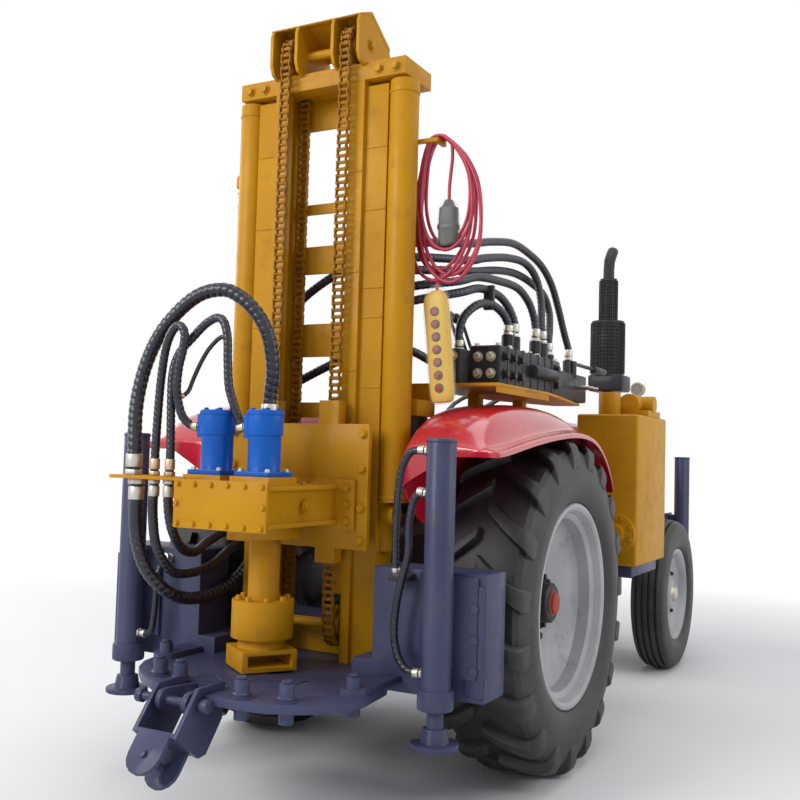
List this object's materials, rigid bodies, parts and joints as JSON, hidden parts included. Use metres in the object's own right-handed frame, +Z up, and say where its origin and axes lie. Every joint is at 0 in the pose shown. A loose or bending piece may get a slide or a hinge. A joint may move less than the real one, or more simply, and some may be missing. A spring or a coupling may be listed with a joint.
{
  "type": "water well drilling rig",
  "caption": "Farm tractor with an upright drilling mast behind it: a chain-fed rotary head on a sliding carriage, a round work platform, levelling jacks and hydraulic hoses.",
  "frame": {"origin": "on the floor, at the middle of the rig's length and width", "axes": "+Z up, +Y towards the tractor's nose, +X to the side of the square tank"},
  "size_m": [1.652, 4.6308, 2.93],
  "materials": {
    "yellow_paint": "worn gloss",
    "slate_paint": "worn gloss",
    "red_paint": "gloss",
    "blue_paint": "gloss",
    "silver_paint": "satin",
    "black_iron": "satin",
    "grey_iron": "dusty",
    "tyre_rubber": "matt",
    "hose_rubber": "spiral wrapped",
    "red_cable": "matt",
    "yellow_plastic": "satin",
    "black_plastic": "matt"
  },
  "bodies": {
    "rig": {"arch_hoses": "hose_rubber", "cable_hank": "red_cable", "chain_left": "yellow_paint", "chain_right": "yellow_paint", "crown": "yellow_paint", "engine_block": "grey_iron", "exhaust_stack": "black_iron", "feed_hoses": "hose_rubber", "fender_left": "red_paint", "fender_right": "red_paint", "floor_plate": "black_iron", "front_axle": "grey_iron", "front_frame": "slate_paint", "gearcase": "grey_iron", "hood": "red_paint", "jack_barrel_front_left": "slate_paint", "jack_barrel_front_right": "slate_paint", "jack_barrel_rear_left": "slate_paint", "jack_barrel_rear_right": "slate_paint", "jack_hose_left": "hose_rubber", "jack_hose_right": "hose_rubber", "mast": "yellow_paint", "nose_grille": "red_paint", "pendant": "yellow_plastic", "platform": "slate_paint", "radiator": "black_iron", "rear_frame": "slate_paint", "seat": "black_plastic", "side_tank": "yellow_paint", "steering_wheel": "black_plastic", "tank_bracket": "slate_paint", "tank_pump": "yellow_paint", "valve_bank": "black_iron", "valve_deck": "yellow_paint"},
    "carriage": {"carriage": "yellow_paint", "gearbox": "yellow_paint", "motor_left": "blue_paint", "motor_right": "blue_paint", "water_swivel": "black_iron", "swivel_hose": "hose_rubber", "motor_hoses": "hose_rubber"},
    "spindle": {"spindle": "yellow_paint"},
    "clamp_bracket": {"clamp_bracket": "slate_paint"},
    "rear_wheel_left": {"rear_rim_left": "silver_paint", "rear_tyre_left": "tyre_rubber"},
    "front_wheel_left": {"front_rim_left": "silver_paint", "front_tyre_left": "tyre_rubber"},
    "steer_left": {"knuckle_left": "grey_iron"},
    "jack_front_left": {"jack_foot_front_left": "slate_paint"},
    "jack_rear_left": {"jack_foot_rear_left": "slate_paint"},
    "rear_wheel_right": {"rear_rim_right": "silver_paint", "rear_tyre_right": "tyre_rubber"},
    "front_wheel_right": {"front_rim_right": "silver_paint", "front_tyre_right": "tyre_rubber"},
    "steer_right": {"knuckle_right": "grey_iron"},
    "jack_front_right": {"jack_foot_front_right": "slate_paint"},
    "jack_rear_right": {"jack_foot_rear_right": "slate_paint"}
  },
  "joints": [
    {"name": "rear_wheel_left_spin", "type": "hinge", "parent": "rig", "child": "rear_wheel_left", "pos_m": [-0.64, -0.71465, 0.67], "axis": [1, 0, 0], "continuous": true},
    {"name": "rear_wheel_right_spin", "type": "hinge", "parent": "rig", "child": "rear_wheel_right", "pos_m": [0.64, -0.71465, 0.67], "axis": [1, 0, 0], "continuous": true},
    {"name": "steer_right_turn", "type": "hinge", "parent": "rig", "child": "steer_right", "pos_m": [0.465, 1.61535, 0.45], "axis": [0, 0, 1], "range_deg": [-30, 30]},
    {"name": "front_wheel_right_spin", "type": "hinge", "parent": "steer_right", "child": "front_wheel_right", "pos_m": [0.605, 1.61535, 0.45], "axis": [1, 0, 0], "continuous": true},
    {"name": "steer_left_turn", "type": "hinge", "parent": "rig", "child": "steer_left", "pos_m": [-0.465, 1.61535, 0.45], "axis": [0, 0, 1], "range_deg": [-30, 30]},
    {"name": "front_wheel_left_spin", "type": "hinge", "parent": "steer_left", "child": "front_wheel_left", "pos_m": [-0.605, 1.61535, 0.45], "axis": [1, 0, 0], "continuous": true},
    {"name": "carriage_slide", "type": "slide", "parent": "rig", "child": "carriage", "axis": [0, 0, 1], "range_m": [0, 1.2], "deforming": ["feed_hoses"]},
    {"name": "spindle_spin", "type": "hinge", "parent": "carriage", "child": "spindle", "pos_m": [0, -1.71465, 0.499], "axis": [0, 0, 1], "continuous": true},
    {"name": "jack_rear_left_slide", "type": "slide", "parent": "rig", "child": "jack_rear_left", "axis": [0, 0, 1], "range_m": [-0.35, 0]},
    {"name": "jack_rear_right_slide", "type": "slide", "parent": "rig", "child": "jack_rear_right", "axis": [0, 0, 1], "range_m": [-0.35, 0]},
    {"name": "jack_front_left_slide", "type": "slide", "parent": "rig", "child": "jack_front_left", "axis": [0, 0, 1], "range_m": [-0.35, 0]},
    {"name": "jack_front_right_slide", "type": "slide", "parent": "rig", "child": "jack_front_right", "axis": [0, 0, 1], "range_m": [-0.35, 0]},
    {"name": "clamp_bracket_swing", "type": "hinge", "parent": "rig", "child": "clamp_bracket", "pos_m": [-0.01, -2.13465, 0.462], "axis": [1, 0, 0], "range_deg": [-30, 30]}
  ],
  "couplings": [
    {"joint": "steer_left_turn", "follows": "steer_right_turn", "ratio": 1}
  ]
}
